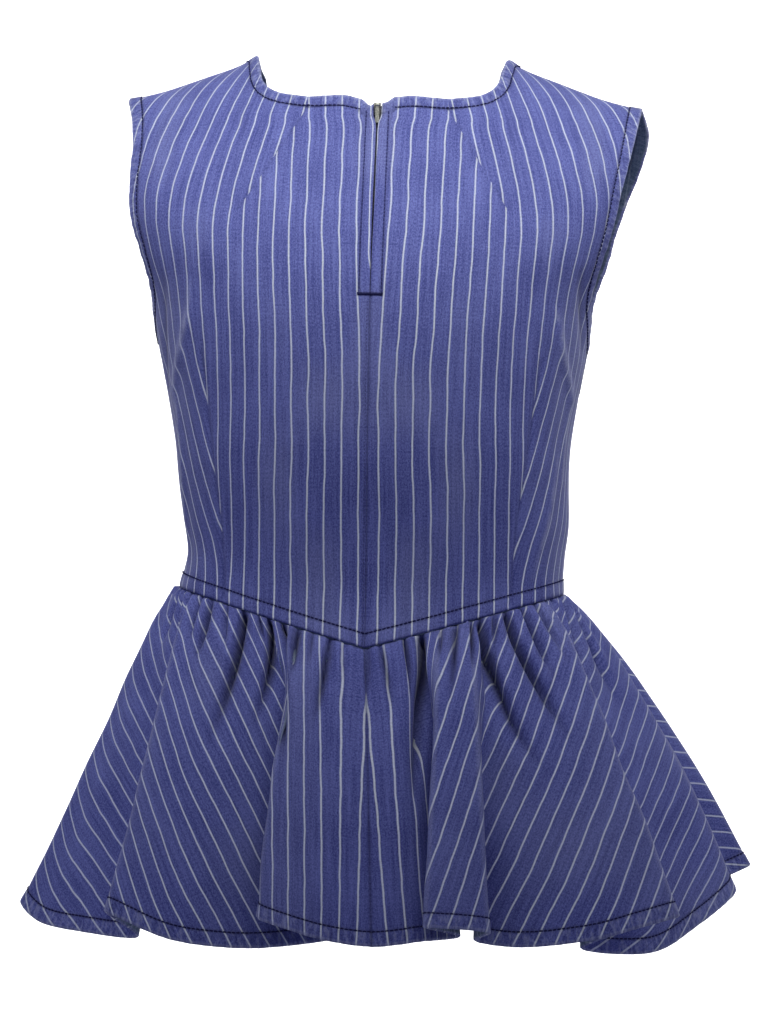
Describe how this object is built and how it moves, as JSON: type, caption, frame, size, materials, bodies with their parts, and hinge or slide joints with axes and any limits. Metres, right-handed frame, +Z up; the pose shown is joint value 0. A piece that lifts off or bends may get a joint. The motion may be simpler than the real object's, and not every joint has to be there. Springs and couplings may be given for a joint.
{
  "type": "sleeveless peplum top",
  "caption": "Sleeveless striped denim top, filled out and hollow, with a shallow neckline, a short centre-front zip, darts, a pointed waist seam and a gathered, flared peplum.",
  "frame": {"origin": "between the shoulders, at the mean height of the shoulder seams, where the wearer's shoulders hold the top up", "axes": "+Z up, the front of the top faces -Y, +X towards the wearer's left"},
  "size_m": [0.4939, 0.4369, 0.5952],
  "materials": {
    "denim": "soft washed blue denim with fine pale stripes",
    "tape": "woven navy zip tape",
    "zip_metal": "dark grey satin metal"
  },
  "bodies": {
    "top": {"front_right": "denim", "front_left": "denim", "back": "denim", "peplum_front_right": "denim", "peplum_front_left": "denim", "peplum_back": "denim", "zip_tape": "tape", "zip_slider": "zip_metal"},
    "pull": {"zip_pull": "zip_metal"}
  },
  "joints": [
    {"name": "zip_pull_hinge", "type": "hinge", "parent": "top", "child": "pull", "pos_m": [0, -0.07536, -0.023], "axis": [-1, 0, 0], "range_deg": [0, 165]}
  ]
}
